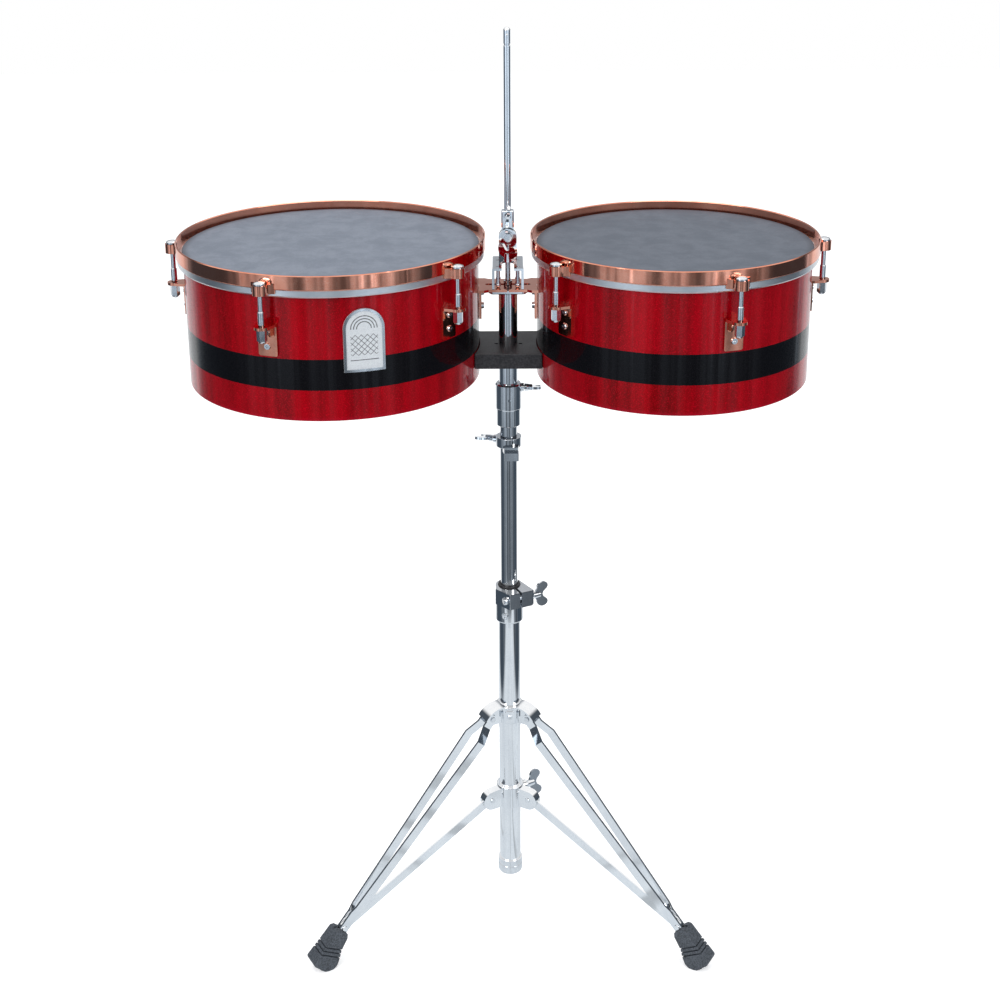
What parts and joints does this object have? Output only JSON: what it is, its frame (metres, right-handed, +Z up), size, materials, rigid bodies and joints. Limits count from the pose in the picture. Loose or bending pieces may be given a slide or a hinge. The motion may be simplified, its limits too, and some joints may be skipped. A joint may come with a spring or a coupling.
{
  "type": "timbales",
  "caption": "Pair of shallow single-headed metal-shell drums on a central clamp, with tension lugs and an accessory rod, on a height-adjustable folding tripod stand.",
  "frame": {"origin": "on the floor, under the middle of the whole set's bounding box", "axes": "+Z up, playing side and name plate towards -Y, larger drum towards -X"},
  "size_m": [0.865, 0.527, 1.2755],
  "materials": {
    "chrome": "polished",
    "steel": "polished",
    "dark_steel": "satin",
    "copper": "polished copper plate",
    "aluminium": "satin",
    "red_lacquer": "gloss metal flake lacquer with one black band",
    "head_film": "matt suede film",
    "black_plastic": "matt",
    "boot_rubber": "matt",
    "badge_metal": "polished rim, etched field"
  },
  "bodies": {
    "base": {"base_tube": "chrome", "base_end_cap": "steel", "upper_leg_collar": "chrome", "upper_pivot_pins": "steel", "collar_fixing_screws": "steel", "height_clamp_ring": "chrome", "height_clamp_body": "chrome", "height_clamp_bushing": "black_plastic", "height_clamp_bolt": "steel"},
    "height_wing_nut": {"height_clamp_wing_nut": "chrome"},
    "lower_collar": {"lower_leg_collar": "chrome", "lower_pivot_pins": "steel"},
    "lower_collar_bolt": {"lower_collar_wing_bolt": "chrome"},
    "mast": {"middle_tube": "chrome"},
    "lock_collar": {"memory_lock": "chrome"},
    "lock_screw": {"memory_lock_wing_screw": "chrome"},
    "top": {"receiver_sleeve": "chrome", "centre_post": "chrome", "spacer_block": "black_plastic", "spacer_screws": "dark_steel", "clamp_base_plate": "chrome", "clamp_channel": "chrome", "clamp_pressure_screws": "steel", "accessory_block": "chrome", "tilt_bolt": "steel"},
    "sleeve_bolt": {"sleeve_wing_bolt": "chrome"},
    "tee_bolt": {"tee_wing_bolt": "chrome"},
    "left_drum": {"shell_left": "red_lacquer", "head_left": "head_film", "flesh_hoop_left": "aluminium", "counter_hoop_left": "copper", "lug_brackets_left": "copper", "lug_screws_left": "steel", "tension_rods_left": "steel", "tuning_nuts_left": "steel", "mount_bracket_left": "copper", "mount_bolts_left": "steel", "badge": "badge_metal"},
    "right_drum": {"shell_right": "red_lacquer", "head_right": "head_film", "flesh_hoop_right": "aluminium", "counter_hoop_right": "copper", "lug_brackets_right": "copper", "lug_screws_right": "steel", "tension_rods_right": "steel", "tuning_nuts_right": "steel", "mount_bracket_right": "copper", "mount_bolts_right": "steel"},
    "tilter": {"accessory_tilter": "chrome"},
    "rod": {"accessory_rod": "chrome"},
    "rod_screw": {"accessory_wing_screw": "chrome"},
    "left_leg": {"leg_left": "chrome", "foot_left": "boot_rubber"},
    "left_brace": {"brace_left": "chrome"},
    "right_leg": {"leg_right": "chrome", "foot_right": "boot_rubber"},
    "right_brace": {"brace_right": "chrome"},
    "rear_leg": {"leg_rear": "chrome", "foot_rear": "boot_rubber"},
    "rear_brace": {"brace_rear": "chrome"}
  },
  "joints": [
    {"name": "height_slide", "type": "slide", "parent": "base", "child": "mast", "axis": [0, 0, 1], "range_m": [-0.06, 0.18]},
    {"name": "memory_lock_slide", "type": "slide", "parent": "mast", "child": "lock_collar", "axis": [0, 0, 1], "range_m": [-0.03, 0.015]},
    {"name": "memory_screw_turn", "type": "hinge", "parent": "lock_collar", "child": "lock_screw", "pos_m": [0.0126, -0.057, 0.7295], "axis": [-0.9397, 0.342, 0], "continuous": true},
    {"name": "top_swivel", "type": "hinge", "parent": "mast", "child": "top", "pos_m": [0.0126, -0.057, 0.79], "axis": [0, 0, 1], "continuous": true},
    {"name": "sleeve_bolt_turn", "type": "hinge", "parent": "top", "child": "sleeve_bolt", "pos_m": [0.0126, -0.057, 0.805], "axis": [1, 0, 0], "continuous": true},
    {"name": "tee_bolt_turn", "type": "hinge", "parent": "top", "child": "tee_bolt", "pos_m": [0.0126, -0.051, 0.977], "axis": [0, 0, 1], "continuous": true},
    {"name": "left_drum_slide", "type": "slide", "parent": "top", "child": "left_drum", "axis": [-1, 0, 0], "range_m": [0, 0.012]},
    {"name": "right_drum_slide", "type": "slide", "parent": "top", "child": "right_drum", "axis": [1, 0, 0], "range_m": [0, 0.012]},
    {"name": "accessory_tilt", "type": "hinge", "parent": "top", "child": "tilter", "pos_m": [0.0126, -0.02, 1.004], "axis": [0, 1, 0], "range_deg": [-30, 30]},
    {"name": "accessory_rod_slide", "type": "slide", "parent": "tilter", "child": "rod", "axis": [0, 0, 1], "range_m": [0, 0.012]},
    {"name": "accessory_screw_turn", "type": "hinge", "parent": "tilter", "child": "rod_screw", "pos_m": [0.0126, -0.02, 1.031], "axis": [0, -1, 0], "continuous": true},
    {"name": "height_nut_turn", "type": "hinge", "parent": "base", "child": "height_wing_nut", "pos_m": [0.03485, -0.07403, 0.5038], "axis": [0.9048, 0.4258, 0], "continuous": true},
    {"name": "lower_collar_slide", "type": "slide", "parent": "base", "child": "lower_collar", "axis": [0, 0, 1], "range_m": [0, 0.05132]},
    {"name": "lower_bolt_turn", "type": "hinge", "parent": "lower_collar", "child": "lower_collar_bolt", "pos_m": [0.0126, -0.057, 0.186], "axis": [0.866, 0.5, 0], "continuous": true},
    {"name": "left_leg_fold", "type": "hinge", "parent": "base", "child": "left_leg", "pos_m": [-0.01598, -0.0735, 0.3155], "axis": [0.5, -0.866, 0], "range_deg": [0, 42.24]},
    {"name": "left_brace_fold", "type": "hinge", "parent": "lower_collar", "child": "left_brace", "pos_m": [-0.01511, -0.073, 0.181], "axis": [0.5, -0.866, 0], "range_deg": [0, 61.92]},
    {"name": "right_leg_fold", "type": "hinge", "parent": "base", "child": "right_leg", "pos_m": [0.04118, -0.0735, 0.3155], "axis": [0.5, 0.866, 0], "range_deg": [0, 42.24]},
    {"name": "right_brace_fold", "type": "hinge", "parent": "lower_collar", "child": "right_brace", "pos_m": [0.04031, -0.073, 0.181], "axis": [0.5, 0.866, 0], "range_deg": [0, 61.92]},
    {"name": "rear_leg_fold", "type": "hinge", "parent": "base", "child": "rear_leg", "pos_m": [0.0126, -0.024, 0.3155], "axis": [-1, 0, 0], "range_deg": [0, 42.24]},
    {"name": "rear_brace_fold", "type": "hinge", "parent": "lower_collar", "child": "rear_brace", "pos_m": [0.0126, -0.025, 0.181], "axis": [-1, 0, 0], "range_deg": [0, 61.92]}
  ],
  "couplings": [
    {"joint": "left_leg_fold", "follows": "lower_collar_slide", "rad_per_m": 14.35},
    {"joint": "left_brace_fold", "follows": "lower_collar_slide", "rad_per_m": 21.043},
    {"joint": "right_leg_fold", "follows": "lower_collar_slide", "rad_per_m": 14.35},
    {"joint": "right_brace_fold", "follows": "lower_collar_slide", "rad_per_m": 21.043},
    {"joint": "rear_leg_fold", "follows": "lower_collar_slide", "rad_per_m": 14.35},
    {"joint": "rear_brace_fold", "follows": "lower_collar_slide", "rad_per_m": 21.043}
  ]
}
